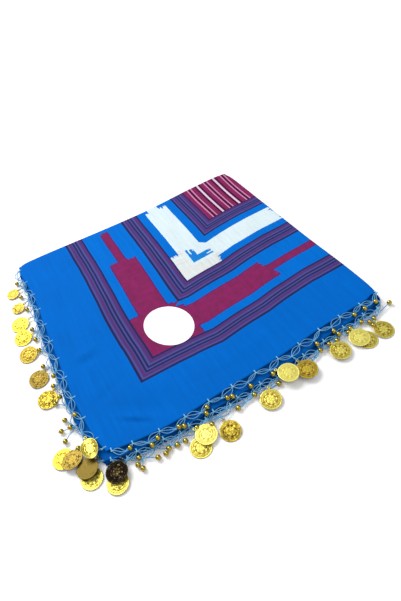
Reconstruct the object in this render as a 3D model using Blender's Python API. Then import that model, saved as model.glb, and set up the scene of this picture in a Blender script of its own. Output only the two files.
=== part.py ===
"""A square cotton headscarf folded in four, edged with crocheted petals, beads and coins.

Frame: metres, +Z up, the origin in the middle of the flat underside. The middle of the opened
scarf is the folded corner at +X +Y. The folds run along +X and +Y, the hems along -X (left) and
-Y (front). A place on the cloth is (u, v): u runs from the fold at +X to the left hem, v from
the fold at +Y to the front hem, each from 0 to 1.
"""

import math

import bmesh
import bpy
import numpy as np
from mathutils import Matrix, Vector

for old in list(bpy.data.objects):
    bpy.data.objects.remove(old, do_unlink=True)

MM = 0.001
SIDE = 350 * MM            # side of the folded square, half the side that was cut
HALF = SIDE / 2
STACK = 10.5 * MM          # height of the four loose leaves
WALL = 1.2 * MM            # thickness of the top leaf
SEAM = 0.35 * MM           # clearance between pieces that touch

# How far each side bows out of the nominal square, in mm, at even stations from its fold end.
# front_low and left_low are the hems of the lower leaves, which show beyond the top leaf's.
BOW = {
    "right": (-1.0, 0.5, 2.5, 4.5, 8.0, 9.5),
    "back": (3.0, 2.5, 0.5, 4.5, 10.5, 16.0),
    "front": (-7.0, -7.0, -1.5, 0.0, 2.0, -6.0),
    "front_low": (6.5, 8.5, 15.0, 15.5, 12.5, 4.0),
    "left": (16.0, 9.0, 11.0, 13.5, 14.5, 9.0),
    "left_low": (12.0, 12.0, 18.0, 20.0, 21.0, 12.0),
}

# How far each corner is drawn in, in mm, by its (u, v), and how close to it that stays.
CORNER_PULL = {(0, 0): 4.0, (1, 0): 7.0, (0, 1): 5.5, (1, 1): 4.5}
CORNER_POWER = 34

# The top leaf rolls over two folds. radius is that of the roll, top at the height of the stack.
# FLAT_SHARES spaces the rows of its flat part, closer together near the folds and the hems.
FOLD_RADIUS = {"right": 5.2 * MM, "back": 2.6 * MM}
ROLL_ANGLES = np.radians((0, 30, 60, 90))
FLAT_SHARES = np.concatenate([(0.012, 0.032), np.arange(1, 16) / 16, (0.968, 0.988, 1.0)])

# Soft ridges and troughs of the top leaf: middle (x, y), heading in degrees from +X, half
# length, half width and height, in mm.
WAVES = (
    {"x": -132, "y": -138, "heading": -38, "length": 34, "width": 9, "height": -1.6},
    {"x": -112, "y": -120, "heading": -32, "length": 46, "width": 16, "height": 1.3},
    {"x": -120, "y": -20, "heading": 100, "length": 70, "width": 26, "height": 1.4},
    {"x": -150, "y": 60, "heading": 80, "length": 60, "width": 18, "height": -1.2},
    {"x": -30, "y": -95, "heading": 8, "length": 90, "width": 24, "height": -1.4},
    {"x": 60, "y": -110, "heading": 20, "length": 70, "width": 26, "height": 1.5},
    {"x": 120, "y": -60, "heading": 55, "length": 60, "width": 22, "height": -1.2},
    {"x": 20, "y": 60, "heading": 35, "length": 110, "width": 34, "height": 1.2},
    {"x": -70, "y": 120, "heading": 5, "length": 80, "width": 24, "height": -1.3},
    {"x": 110, "y": 110, "heading": 70, "length": 60, "width": 28, "height": 1.0},
)
HEM_INSET = 3 * MM         # from the top leaf's hem in to where the leaf below leaves it
WAVE_FADE = 26 * MM        # width of the strip by each edge where the waves die out

# The edges of the three leaves below, as rings from the top leaf down to the underside. Each
# side has how far it lies in from its line, and its height, in mm. None keeps to the clearance
# under the top leaf. share is how far the hem lines have moved from front and left to
# front_low and left_low.
RINGS = (
    {"back": (1.6, None), "right": (2.6, None), "front": (3.0, 8.0), "left": (3.0, 8.0), "share": 0.0},
    {"back": (0.1, None), "right": (0.1, None), "front": (0.0, 7.0), "left": (0.0, 7.0), "share": 0.5},
    {"back": (0.6, 6.2), "right": (0.2, 4.2), "front": (0.0, 5.6), "left": (0.0, 5.6), "share": 1.0},
    {"back": (3.0, 5.4), "right": (0.4, 3.6), "front": (0.0, 4.4), "left": (0.0, 4.4), "share": 1.0},
    {"back": (0.6, 4.6), "right": (0.8, 2.9), "front": (4.0, 4.0), "left": (4.0, 4.0), "share": 1.0},
    {"back": (0.0, 2.9), "right": (1.3, 2.2), "front": (1.5, 3.5), "left": (1.0, 3.5), "share": 1.0},
    {"back": (0.4, 1.4), "right": (2.0, 1.5), "front": (1.5, 2.3), "left": (1.0, 2.3), "share": 1.0},
    {"back": (1.0, 0.7), "right": (3.0, 0.8), "front": (5.0, 1.9), "left": (5.0, 1.9), "share": 1.0},
    {"back": (1.5, 0.3), "right": (4.2, 0.3), "front": (0.5, 1.4), "left": (1.5, 1.4), "share": 1.0},
    {"back": (2.4, 0.0), "right": (5.4, 0.0), "front": (0.5, 0.0), "left": (1.5, 0.0), "share": 1.0},
)

# Crocheted edging, in mm. A petal is two strands that part and meet again, between a knot on
# the hem and the point where the beads hang.
THREAD = 1.4               # height of the thread
STRAND = 1.1               # width of one strand
KNOT_REACH = 1.2           # from a knot's middle to where its petals begin
POINT_DEPTH = 7.0          # from the hem to the points of the edging
PETAL_SPREAD = 0.16        # strand to centre line, as a share of the petal's length
BEAD_RADIUS = 3.0
BEAD_SIDES = 6

# The four runs of edging that show. start and pitch place the knots along the hem, as shares of
# its length, and last closes the run at the corner. hem_z and bead_z are heights in mm. beads
# has one figure a point: how many beads hang there.
LACE_RUNS = {
    "lace_front_upper": {
        "side": "front", "share": 0.0, "start": 0.003, "pitch": 0.0829, "count": 12, "last": 0.982,
        "hem_z": 9.9, "bead_z": 9.9, "beads": "211110112221",
    },
    "lace_front_lower": {
        "side": "front", "share": 1.0, "start": 0.041, "pitch": 0.0817, "count": 12, "last": 0.985,
        "hem_z": 5.0, "bead_z": 3.4, "beads": "000110200220",
    },
    "lace_left_upper": {
        "side": "left", "share": 0.0, "start": 0.035, "pitch": 0.0903, "count": 11, "last": 0.985,
        "hem_z": 9.9, "bead_z": 9.3, "beads": "11111111210",
    },
    "lace_left_lower": {
        "side": "left", "share": 1.0, "start": 0.079, "pitch": 0.0878, "count": 11, "last": 0.985,
        "hem_z": 5.0, "bead_z": 4.3, "beads": "00000002100",
    },
}

# Coins of thin stamped metal, in mm, each with a ring at its edge.
COIN_RADIUS = {"large": 12.0, "small": 9.0}
COIN_THICK = 0.9
COIN_SIDES = 16
RING_RADIUS = 2.0
RING_HOLE = 1.0
RING_SIDES = 8
COIN_NECK = 0.2            # between the ring and the coin

# Where each coin hangs: its run, point and size, the turn of its hanging line from straight
# out, the reach and rise from the point to its ring in mm, and its tip and roll in degrees.
COINS = (
    {"run": "lace_front_lower", "point": 0, "size": "large", "swing": 0,
     "reach": 4.4, "rise": 0.3, "pitch": 5, "roll": -5},
    {"run": "lace_front_lower", "point": 1, "size": "large", "swing": -20,
     "reach": 4.4, "rise": -0.5, "pitch": 4, "roll": 0},
    {"run": "lace_front_lower", "point": 1, "size": "large", "swing": 0,
     "reach": -2.5, "rise": 2.4, "pitch": 3, "roll": 0},
    {"run": "lace_front_lower", "point": 2, "size": "large", "swing": -10,
     "reach": -2.5, "rise": 2.4, "pitch": 3, "roll": 0},
    {"run": "lace_front_lower", "point": 5, "size": "large", "swing": 25,
     "reach": -1.0, "rise": 2.1, "pitch": 6, "roll": 0},
    {"run": "lace_front_lower", "point": 7, "size": "large", "swing": 0,
     "reach": 4.4, "rise": 0, "pitch": 5, "roll": 3},
    {"run": "lace_front_lower", "point": 8, "size": "large", "swing": -35,
     "reach": -2.0, "rise": 2.4, "pitch": 4, "roll": 0},
    {"run": "lace_front_lower", "point": 8, "size": "large", "swing": 14,
     "reach": 4.4, "rise": -0.4, "pitch": 5, "roll": 0},
    {"run": "lace_front_lower", "point": 11, "size": "large", "swing": 40,
     "reach": 4.2, "rise": 0.4, "pitch": 4, "roll": 0},
    {"run": "lace_front_upper", "point": 5, "size": "large", "swing": -45,
     "reach": 6.5, "rise": 0.6, "pitch": 3, "roll": 0},
    {"run": "lace_front_upper", "point": 4, "size": "large", "swing": -10,
     "reach": 9.0, "rise": -2.0, "pitch": 3, "roll": 0},
    {"run": "lace_front_upper", "point": 11, "size": "large", "swing": 49,
     "reach": 6.2, "rise": -2.2, "pitch": 3, "roll": 0},
    {"run": "lace_left_lower", "point": 0, "size": "small", "swing": 8,
     "reach": 4.4, "rise": 0, "pitch": 5, "roll": -5},
    {"run": "lace_left_lower", "point": 1, "size": "small", "swing": 10,
     "reach": 4.4, "rise": 0, "pitch": 5, "roll": -6},
    {"run": "lace_left_lower", "point": 2, "size": "large", "swing": 8,
     "reach": 4.4, "rise": 0, "pitch": 4, "roll": -10},
    {"run": "lace_left_lower", "point": 3, "size": "large", "swing": -12,
     "reach": 4.4, "rise": 0, "pitch": 3, "roll": -12},
    {"run": "lace_left_lower", "point": 4, "size": "large", "swing": -13,
     "reach": 4.4, "rise": 0, "pitch": 3, "roll": -12},
    {"run": "lace_left_lower", "point": 5, "size": "large", "swing": 28,
     "reach": 4.4, "rise": 0, "pitch": 3, "roll": -10},
    {"run": "lace_left_lower", "point": 6, "size": "large", "swing": 38,
     "reach": 4.4, "rise": 0, "pitch": 3, "roll": -8},
    {"run": "lace_left_lower", "point": 9, "size": "large", "swing": -9,
     "reach": 13.0, "rise": -1.2, "pitch": 3, "roll": 0},
    {"run": "lace_left_lower", "point": 9, "size": "large", "swing": 13,
     "reach": 4.4, "rise": 1.6, "pitch": 2, "roll": 8},
    {"run": "lace_left_lower", "point": 10, "size": "large", "swing": 14,
     "reach": -2.5, "rise": 2.4, "pitch": 2, "roll": 4},
    {"run": "lace_left_lower", "point": 10, "size": "large", "swing": 50,
     "reach": 4.0, "rise": -1.8, "pitch": 2.5, "roll": 0},
    {"run": "lace_left_upper", "point": 9, "size": "large", "swing": 90,
     "reach": 9.0, "rise": 2.8, "pitch": 2, "roll": 0},
)

CLOTH_BLUE = (0.003, 0.155, 0.63)
CLOTH_DARK = (0.006, 0.09, 0.32)
THREAD_BLUE = (0.28, 0.47, 0.60)
GOLD = (0.75, 0.55, 0.16)


def material(name, colour, roughness, metallic):
    """A Principled material of one colour."""
    made = bpy.data.materials.new(name)
    made.use_nodes = True
    shader = made.node_tree.nodes["Principled BSDF"]
    shader.inputs["Base Color"].default_value = (*colour, 1)
    shader.inputs["Roughness"].default_value = roughness
    shader.inputs["Metallic"].default_value = metallic
    return made


def closed_mesh(name, points, faces, finish):
    """A closed mesh of one material, its equal points merged and its normals outward."""
    mesh = bpy.data.meshes.new(name)
    mesh.from_pydata([tuple(p) for p in points], [], faces)
    shape = bmesh.new()
    shape.from_mesh(mesh)
    bmesh.ops.remove_doubles(shape, verts=shape.verts, dist=0.01 * MM)
    bmesh.ops.recalc_face_normals(shape, faces=shape.faces)
    if shape.calc_volume(signed=True) < 0:
        bmesh.ops.reverse_faces(shape, faces=shape.faces)
    shape.to_mesh(mesh)
    shape.free()
    mesh.materials.append(finish)
    return mesh


def add_object(name, mesh):
    """One named body of the part."""
    made = bpy.data.objects.new(name, mesh)
    bpy.context.collection.objects.link(made)
    return made


def bow(side, t):
    """Bow of a side at t, in metres: a smooth curve through its even stations."""
    values = np.array(BOW[side]) * MM
    knots = np.pad(values, 1, mode="reflect", reflect_type="odd")
    place = np.clip(t, 0, 1) * (len(values) - 1)
    i = np.minimum(place.astype(int), len(values) - 2)
    f = place - i
    a, b, c, d = knots[i], knots[i + 1], knots[i + 2], knots[i + 3]
    return b + 0.5 * f * (c - a + f * (2 * a - 5 * b + 4 * c - d + f * (3 * (b - c) + d - a)))


def plan(u, v, back=0, right=0, front=0, left=0, share=0):
    """Plan place of (u, v) between the four sides, each moved in by its own amount."""
    u, v = np.broadcast_arrays(np.asarray(u, float), np.asarray(v, float))
    x_right = HALF + bow("right", v) - right
    x_left = -HALF - (1 - share) * bow("left", v) - share * bow("left_low", v) + left
    y_back = HALF + bow("back", u) - back
    y_front = -HALF - (1 - share) * bow("front", u) - share * bow("front_low", u) + front
    x = x_right + (x_left - x_right) * u
    y = y_back + (y_front - y_back) * v
    for (at_left, at_front), pull in CORNER_PULL.items():
        near = (u if at_left else 1 - u) * (v if at_front else 1 - v)
        draw = pull * MM * near ** CORNER_POWER
        x = x + (draw if at_left else -draw)
        y = y + (draw if at_front else -draw)
    return x, y


def wave_height(x, y, edge_distance):
    """Sum of the soft ridges and troughs, faded out towards the edges."""
    height = np.zeros_like(x)
    for wave in WAVES:
        turn = math.radians(wave["heading"])
        dx = x - wave["x"] * MM
        dy = y - wave["y"] * MM
        along = (dx * math.cos(turn) + dy * math.sin(turn)) / (wave["length"] * MM)
        across = (dy * math.cos(turn) - dx * math.sin(turn)) / (wave["width"] * MM)
        height += wave["height"] * MM * np.exp(-along ** 2 - across ** 2)
    fade = np.clip(edge_distance / WAVE_FADE, 0, 1)
    return height * fade * fade * (3 - 2 * fade)


def roll_rows(side, depth):
    """Rows across the leaf from a fold: inset, height and share of the flat part.

    On the roll the inset is radius - (radius - depth) * cos(angle) and the height is the roll's
    middle plus (radius - depth) * sin(angle). Past it the leaf is flat.
    """
    radius = FOLD_RADIUS[side]
    middle = STACK - radius
    inset = radius - (radius - depth) * np.cos(ROLL_ANGLES)
    height = middle + (radius - depth) * np.sin(ROLL_ANGLES)
    insets = np.append(inset, np.full(len(FLAT_SHARES), radius))
    heights = np.append(height, np.full(len(FLAT_SHARES), STACK - depth))
    shares = np.append(np.zeros(len(ROLL_ANGLES)), FLAT_SHARES)
    return insets, heights, shares


def leaf_grid(depth, hem_inset=0):
    """Grid of points at a depth under the top leaf's outer face, as (rows, columns, 3).

    hem_inset is how far its last row and column stay back from the hems.
    """
    right_in, right_z, u = roll_rows("right", depth)
    back_in, back_z, v = roll_rows("back", depth)
    uu, vv = np.meshgrid(np.minimum(u, 1 - hem_inset / SIDE), np.minimum(v, 1 - hem_inset / SIDE))
    x, y = plan(uu, vv, back=back_in[:, None], right=right_in[None, :])
    edge_distance = SIDE * np.minimum(np.minimum(uu, vv), np.minimum(1 - uu, 1 - vv))
    z = np.minimum(right_z[None, :], back_z[:, None]) + wave_height(x, y, edge_distance)
    return np.stack([x, y, z], axis=-1)


def grid_faces(rows, columns, first=0):
    """Quads of a grid whose points are numbered row by row."""
    corner = first + np.arange(rows * columns).reshape(rows, columns)
    quads = np.stack([corner[:-1, :-1], corner[:-1, 1:], corner[1:, 1:], corner[1:, :-1]], axis=-1)
    return quads.reshape(-1, 4).tolist()


def grid_border(rows, columns):
    """Numbers of a grid's border points, once round."""
    corner = np.arange(rows * columns).reshape(rows, columns)
    return np.concatenate([corner[0], corner[1:, -1], corner[-1, -2::-1], corner[-2:0:-1, 0]])


def ring_faces(outer, inner):
    """Quads between two closed rings of point numbers."""
    return [list(q) for q in zip(outer, np.roll(outer, -1), np.roll(inner, -1), inner)]


def make_top_leaf(finish):
    """The leaf that shows: an outer and an inner grid a wall apart, closed round the rim."""
    outer = leaf_grid(0)
    inner = leaf_grid(WALL)
    rows, columns = outer.shape[:2]
    count = rows * columns
    border = grid_border(rows, columns)
    faces = grid_faces(rows, columns) + grid_faces(rows, columns, count)
    faces += ring_faces(border, border + count)
    points = np.concatenate([outer.reshape(-1, 3), inner.reshape(-1, 3)])
    return add_object("leaf_top", closed_mesh("leaf_top", points, faces, finish))


def ring_height(ring, u, v, ceiling):
    """Height of a ring: its sides' heights, mixed near each corner, and under the top leaf."""
    total = np.zeros_like(u)
    weight = np.zeros_like(u)
    nearness = {"back": 1 - v, "right": 1 - u, "front": v, "left": u}
    for side, near in nearness.items():
        own = near ** 40
        height = ring[side][1]
        total += own * (ceiling if height is None else height * MM)
        weight += own
    return np.minimum(total / weight, ceiling)


def make_lower_leaves(finish):
    """The three leaves below as one rounded body, layered at its edges and flat below."""
    top = leaf_grid(WALL + SEAM, HEM_INSET)
    rows, columns = top.shape[:2]
    border = grid_border(rows, columns)
    width = FOLD_RADIUS["right"] * (1 - np.cos(ROLL_ANGLES)) / SIDE
    depth = FOLD_RADIUS["back"] * (1 - np.cos(ROLL_ANGLES)) / SIDE
    u_rows = np.append(width, width[-1] + (1 - width[-1]) * FLAT_SHARES)
    v_rows = np.append(depth, depth[-1] + (1 - depth[-1]) * FLAT_SHARES)
    uu, vv = np.meshgrid(u_rows, v_rows)
    u = uu.ravel()[border]
    v = vv.ravel()[border]
    ceiling = leaf_grid(WALL).reshape(-1, 3)[border, 2] - SEAM

    points = [top.reshape(-1, 3)]
    faces = grid_faces(rows, columns)
    above = border
    count = rows * columns
    for ring in RINGS:
        insets = {side: ring[side][0] * MM for side in ("back", "right", "front", "left")}
        x, y = plan(u, v, share=ring["share"], **insets)
        points.append(np.stack([x, y, ring_height(ring, u, v, ceiling)], axis=-1))
        below = count + np.arange(len(border))
        faces += ring_faces(above, below)
        above = below
        count += len(border)
    faces.append(above.tolist())
    mesh = closed_mesh("leaves_lower", np.concatenate(points), faces, finish)
    return add_object("leaves_lower", mesh)


class Net:
    """A flat piece of lace: points (along, out, half thickness) in mm, and faces on them."""

    def __init__(self):
        self.points = []
        self.faces = []
        self.known = {}

    def number(self, point, half=THREAD / 2):
        """Number of the point at this place, made when it is new."""
        key = (round(float(point[0]), 4), round(float(point[1]), 4))
        if key not in self.known:
            self.known[key] = len(self.points)
            self.points.append((point[0], point[1], half))
        return self.known[key]

    def face(self, *corners):
        self.faces.append([self.number(c) for c in corners])

    def slab(self, place):
        """Points and faces of the net given its thickness. place maps (along, out) to space."""
        flat = np.array(self.points)
        centre = place(flat[:, 0], flat[:, 1])
        lift = np.zeros_like(centre)
        lift[:, 2] = flat[:, 2] * MM
        count = len(flat)
        once = {}
        for face in self.faces:
            for a, b in zip(face, face[1:] + face[:1]):
                once[frozenset((a, b))] = None if frozenset((a, b)) in once else (a, b)
        walls = [[e[1], e[0], e[0] + count, e[1] + count] for e in once.values() if e]
        below = [[n + count for n in reversed(f)] for f in self.faces]
        return np.concatenate([centre + lift, centre - lift]), self.faces + below + walls


def mouth(centre, toward):
    """Three points across a petal's root, at KNOT_REACH from a knot, towards another."""
    heading = np.subtract(toward, centre)
    heading = heading / np.linalg.norm(heading)
    across = np.array((-heading[1], heading[0]))
    root = centre + heading * KNOT_REACH
    return root + across * STRAND, root, root - across * STRAND


def add_petal(net, start, end):
    """Two strands from one mouth to another, each bowed out by a half sine."""
    far_l, far_mid, far_r = start
    near_r, near_mid, near_l = end
    heading = near_mid - far_mid
    length = np.linalg.norm(heading)
    across = np.array((-heading[1], heading[0])) / length
    stations = []
    for share in (1 / 3, 2 / 3):
        middle = far_mid + heading * share
        spread = PETAL_SPREAD * length * math.sin(math.pi * share)
        offsets = (spread + STRAND / 2, spread - STRAND / 2, STRAND / 2 - spread, -spread - STRAND / 2)
        stations.append([middle + across * o for o in offsets])
    rows = [[far_l, far_mid, far_mid, far_r], *stations, [near_l, near_mid, near_mid, near_r]]
    for one, two in zip(rows, rows[1:]):
        net.face(two[0], two[1], one[1], one[0])
        net.face(two[2], two[3], one[3], one[2])


def add_bead(net, left, right):
    """A round bead on the edge from left to right. Returns its outline, from that edge round.

    Seen from above it is a regular polygon on that edge. Its height follows a ball's.
    """
    left = np.asarray(left)
    right = np.asarray(right)
    step = right - left
    outward = np.array((-step[1], step[0]))
    outward = outward / np.linalg.norm(outward)
    apothem = np.linalg.norm(step) / 2 / math.tan(math.pi / BEAD_SIDES)
    centre = (left + right) / 2 + outward * apothem
    arm = left - centre
    outer = []
    inner = []
    for k in range(BEAD_SIDES):
        turn = 2 * math.pi * k / BEAD_SIDES
        c, s = math.cos(turn), math.sin(turn)
        spoke = np.array((c * arm[0] - s * arm[1], s * arm[0] + c * arm[1]))
        outer.append(centre + spoke)
        inner.append(centre + spoke * 0.62)
    outer[1] = right
    hub = net.number(centre, BEAD_RADIUS)
    shoulder = [net.number(p, BEAD_RADIUS * 0.78) for p in inner]
    rim = [net.number(p) for p in outer]
    for k in range(BEAD_SIDES):
        n = (k + 1) % BEAD_SIDES
        net.faces.append([shoulder[k], shoulder[n], rim[n], rim[k]])
        net.faces.append([hub, shoulder[n], shoulder[k]])
    return outer


def lace_points(run, span):
    """Places of a run's knots and of the points between them, in mm along and out."""
    shares = [run["start"] + run["pitch"] * k for k in range(run["count"])] + [run["last"]]
    along = np.array(shares) * span
    knots = [np.array((a, SEAM / MM + KNOT_REACH)) for a in along]
    points = [np.array(((a + b) / 2, POINT_DEPTH)) for a, b in zip(along, along[1:])]
    return knots, points


def make_lace(name, run, finish):
    """One run of edging: knots on the hem, two petals to each point, and the beads there."""
    on_front = run["side"] == "front"
    low = run["share"]

    def hem_line(share):
        if on_front:
            return plan(share, 1, share=low)
        return plan(1, share, share=low)

    ends = hem_line(np.array((0.0, 1.0)))
    span = np.hypot(np.diff(ends[0]), np.diff(ends[1]))[0] / MM

    def place(along, out):
        x, y = hem_line(along / span)
        fall = np.clip(out / POINT_DEPTH, 0, 1)
        z = (run["hem_z"] + (run["bead_z"] - run["hem_z"]) * fall * fall * (3 - 2 * fall)) * MM
        if on_front:
            return np.stack([x, y - out * MM, z], axis=-1)
        return np.stack([x - out * MM, y, z], axis=-1)

    net = Net()
    knots, points = lace_points(run, span)
    edge = BEAD_RADIUS * math.sin(math.pi / BEAD_SIDES)
    for k, knot in enumerate(knots):
        corner = [(knot[0] + STRAND, knot[1] - KNOT_REACH), (knot[0] - STRAND, knot[1] - KNOT_REACH)]
        if k > 0:
            corner += mouth(knot, points[k - 1])
        if k < len(points):
            corner += mouth(knot, points[k])
        net.face(*corner)
    for k, point in enumerate(points):
        before = mouth(point, knots[k])
        after = mouth(point, knots[k + 1])
        tip = [point + np.array((-edge, KNOT_REACH + 0.5)), point + np.array((edge, KNOT_REACH + 0.5))]
        net.face(*before, *tip, *after)
        add_petal(net, mouth(knots[k], point), before)
        add_petal(net, after, mouth(knots[k + 1], point))
        if run["beads"][k] != "0":
            rim = add_bead(net, *tip)
        if run["beads"][k] == "2":
            add_bead(net, rim[3], rim[2])
    add_object(name, closed_mesh(name, *net.slab(place), finish))
    tips = np.array(points)
    return place(tips[:, 0], tips[:, 1])


def circle(radius, sides, middle, first_turn):
    """Points of a regular polygon, as an array of (across, along)."""
    turn = first_turn + 2 * math.pi * np.arange(sides) / sides
    return np.stack([radius * np.sin(turn), middle + radius * np.cos(turn)], axis=-1)


def make_coin_mesh(size, finish):
    """A flat coin and its hanging ring. The ring's middle is the origin, the coin lies along +Y."""
    net = Net()
    radius = COIN_RADIUS[size]
    disc = circle(radius, COIN_SIDES, radius + RING_RADIUS + COIN_NECK, math.pi * (1 + 1 / COIN_SIDES))
    rim = circle(RING_RADIUS, RING_SIDES, 0, -math.pi / RING_SIDES)
    hole = circle(RING_HOLE, RING_SIDES, 0, -math.pi / RING_SIDES)
    half = COIN_THICK / 2
    for point in (*disc, *rim, *hole):
        net.number(point, half)
    net.face(*disc)
    net.face(rim[1], rim[0], disc[0], disc[-1])
    for k in range(RING_SIDES):
        n = (k + 1) % RING_SIDES
        net.face(rim[k], rim[n], hole[n], hole[k])

    def place(across, along):
        return np.stack([across, along, np.zeros_like(across)], axis=-1) * MM

    return closed_mesh(f"coin_{size}", *net.slab(place), finish)


def hang_coin(number, coin, tips, mesh):
    """One coin from its row of the table: turned about the upright, then tipped and rolled."""
    on_front = LACE_RUNS[coin["run"]]["side"] == "front"
    out = -math.pi / 2 if on_front else math.pi
    swing = math.radians(coin["swing"])
    heading = out - swing if on_front else out + swing
    level = Vector((math.cos(heading), math.sin(heading), 0))
    ring = Vector(tips[coin["point"]]) + level * coin["reach"] * MM
    ring.z += coin["rise"] * MM
    turn = Matrix.Rotation(heading - math.pi / 2, 4, "Z")
    tip = Matrix.Rotation(-math.radians(coin["pitch"]), 4, "X")
    roll = Matrix.Rotation(math.radians(coin["roll"]), 4, "Y")
    made = add_object(f"coin_{number:02d}", mesh)
    made.matrix_world = Matrix.Translation(ring) @ turn @ tip @ roll


cloth = material("cloth_blue", CLOTH_BLUE, 0.75, 0.0)
shade = material("cloth_shade", CLOTH_DARK, 0.8, 0.0)
thread = material("thread", THREAD_BLUE, 0.7, 0.0)
gold = material("gold", GOLD, 0.35, 1.0)

make_top_leaf(cloth)
make_lower_leaves(shade)
lace_tips = {name: make_lace(name, run, thread) for name, run in LACE_RUNS.items()}
coin_meshes = {size: make_coin_mesh(size, gold) for size in COIN_RADIUS}
for number, coin in enumerate(COINS, 1):
    hang_coin(number, coin, lace_tips[coin["run"]], coin_meshes[coin["size"]])
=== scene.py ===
# %% [markdown]
# # A printed headscarf, folded in four, with a crocheted coin edging
#
# The real thing is one square of thin printed cotton. Its edge carries a crochet of fine thread:
# leaf-shaped loops, round metal beads and thin stamped coins. Folded twice it is a quarter of its
# size and four leaves deep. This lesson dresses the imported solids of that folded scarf. Every
# number below is in metres unless its name or comment says millimetres.

import math

import bmesh
import bpy
import numpy as np
from mathutils import Matrix


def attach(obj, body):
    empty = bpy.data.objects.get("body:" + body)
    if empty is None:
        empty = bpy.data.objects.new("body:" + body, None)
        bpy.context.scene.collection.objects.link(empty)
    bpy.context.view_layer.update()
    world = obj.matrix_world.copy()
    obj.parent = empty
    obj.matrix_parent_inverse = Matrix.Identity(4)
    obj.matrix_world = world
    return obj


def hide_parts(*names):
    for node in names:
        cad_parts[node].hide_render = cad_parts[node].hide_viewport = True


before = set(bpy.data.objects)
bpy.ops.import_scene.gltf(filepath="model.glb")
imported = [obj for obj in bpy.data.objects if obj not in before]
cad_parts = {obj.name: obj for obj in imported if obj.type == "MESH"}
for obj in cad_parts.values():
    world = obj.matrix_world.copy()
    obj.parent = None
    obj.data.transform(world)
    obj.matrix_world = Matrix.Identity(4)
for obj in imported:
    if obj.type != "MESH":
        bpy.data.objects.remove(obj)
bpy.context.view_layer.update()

# %% [markdown]
# ## The outline of the folded cloth
#
# A place on the folded cloth is (u, v). u runs from the fold on the right to the left hem, and v
# from the fold at the back to the front hem. Real cloth never lies in a true square, so each side
# bows a little. A short table of bows, joined by a smooth curve, keeps that easy to read and to
# change. The solids were made from the same table, so what is built here lies on them.

# %% The bowed square
MM = 0.001
SIDE = 350 * MM
HALF = SIDE / 2
STACK = 10.5 * MM
CLOTH = 0.5 * MM

BOW = {
    "right": (-1.0, 0.5, 2.5, 4.5, 8.0, 9.5),
    "back": (3.0, 2.5, 0.5, 4.5, 10.5, 16.0),
    "front": (-7.0, -7.0, -1.5, 0.0, 2.0, -6.0),
    "front_low": (6.5, 8.5, 15.0, 15.5, 12.5, 4.0),
    "left": (16.0, 9.0, 11.0, 13.5, 14.5, 9.0),
    "left_low": (12.0, 12.0, 18.0, 20.0, 21.0, 12.0),
}
CORNER_PULL = {(0, 0): 4.0, (1, 0): 7.0, (0, 1): 5.5, (1, 1): 4.5}
CORNER_POWER = 34
CORNER_LIMIT = 0.99


def bow(side, t):
    """Bow of a side at t: a cubic curve through the side's even stations."""
    values = np.array(BOW[side]) * MM
    knots = np.pad(values, 1, mode="reflect", reflect_type="odd")
    place = np.clip(t, 0, 1) * (len(values) - 1)
    i = np.minimum(place.astype(int), len(values) - 2)
    f = place - i
    a, b, c, d = knots[i], knots[i + 1], knots[i + 2], knots[i + 3]
    return b + 0.5 * f * (c - a + f * (2 * a - 5 * b + 4 * c - d + f * (3 * (b - c) + d - a)))


def plan(u, v, back=0, right=0, front=0, left=0, share=0):
    """x and y of (u, v): straight lines between bowed sides, each side moved in by its own amount.

    share moves the hems from the top leaf's lines (0) to those of the leaves below (1).
    """
    u, v = np.broadcast_arrays(np.asarray(u, float), np.asarray(v, float))
    x_right = HALF + bow("right", v) - right
    x_left = -HALF - (1 - share) * bow("left", v) - share * bow("left_low", v) + left
    y_back = HALF + bow("back", u) - back
    y_front = -HALF - (1 - share) * bow("front", u) - share * bow("front_low", u) + front
    x = x_right + (x_left - x_right) * u
    y = y_back + (y_front - y_back) * v
    for (at_left, at_front), pull in CORNER_PULL.items():
        near = np.clip(u if at_left else 1 - u, 0, 1) * np.clip(v if at_front else 1 - v, 0, 1)
        draw = pull * MM * np.minimum(near, CORNER_LIMIT) ** CORNER_POWER
        x = x + (draw if at_left else -draw)
        y = y + (draw if at_front else -draw)
    return x, y


print("front hem, middle:", plan(0.5, 1.0))

# %% [markdown]
# ## Soft ridges and small creases
#
# Thin cotton keeps a memory of how it was handled. A ridge or a trough is drawn as a bell curve
# along a line: wide and low for the slow swells, narrow for the creases. They die out towards
# the edges, where the folds and the hem hold the cloth down. Past the hem the cloth droops a
# little, because nothing but the leaves below carries it. Places, lengths and heights in the two
# tables are in millimetres.

# %% Ridges, troughs and creases
# Each row: x, y, heading in degrees, length, width, height.
WAVES = (
    (-132, -138, -38, 34, 9, -1.6),
    (-112, -120, -32, 46, 16, 1.3),
    (-120, -20, 100, 70, 26, 1.4),
    (-150, 60, 80, 60, 18, -1.2),
    (-30, -95, 8, 90, 24, -1.4),
    (60, -110, 20, 70, 26, 1.5),
    (120, -60, 55, 60, 22, -1.2),
    (20, 60, 35, 110, 34, 1.2),
    (-70, 120, 5, 80, 24, -1.3),
    (110, 110, 70, 60, 28, 1.0),
)
CREASES = (
    (-140, -152.5, -38, 16, 3.2, -2.0),
    (-136, -147.5, -38, 18, 3.2, 1.9),
    (-157, -43, 2, 13, 7.5, -1.5),
    (-154, -31, 2, 14, 7.5, 1.4),
    (-150, -100, 20, 22, 6.0, -0.9),
    (-160, -62, 70, 22, 5.5, 0.6),
    (30, -140, 6, 60, 7.0, 0.5),
    (140, -120, 74, 34, 6.0, -0.6),
    (-40, -150, -8, 36, 4.5, -0.4),
    (90, 20, 60, 44, 7.0, 0.5),
    (-130, 130, 25, 30, 6.0, -0.5),
)
WAVE_FADE = 26 * MM
CREASE_FADE = 10 * MM
HEM_WIDTH = 3 * MM
HEM_LIFT = 0.3 * MM
HEM_RISE = 0.6 * MM
HEM_FALL = 1.2 * MM
DROOP = 0.5 * MM
DROOP_REACH = 9 * MM


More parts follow.
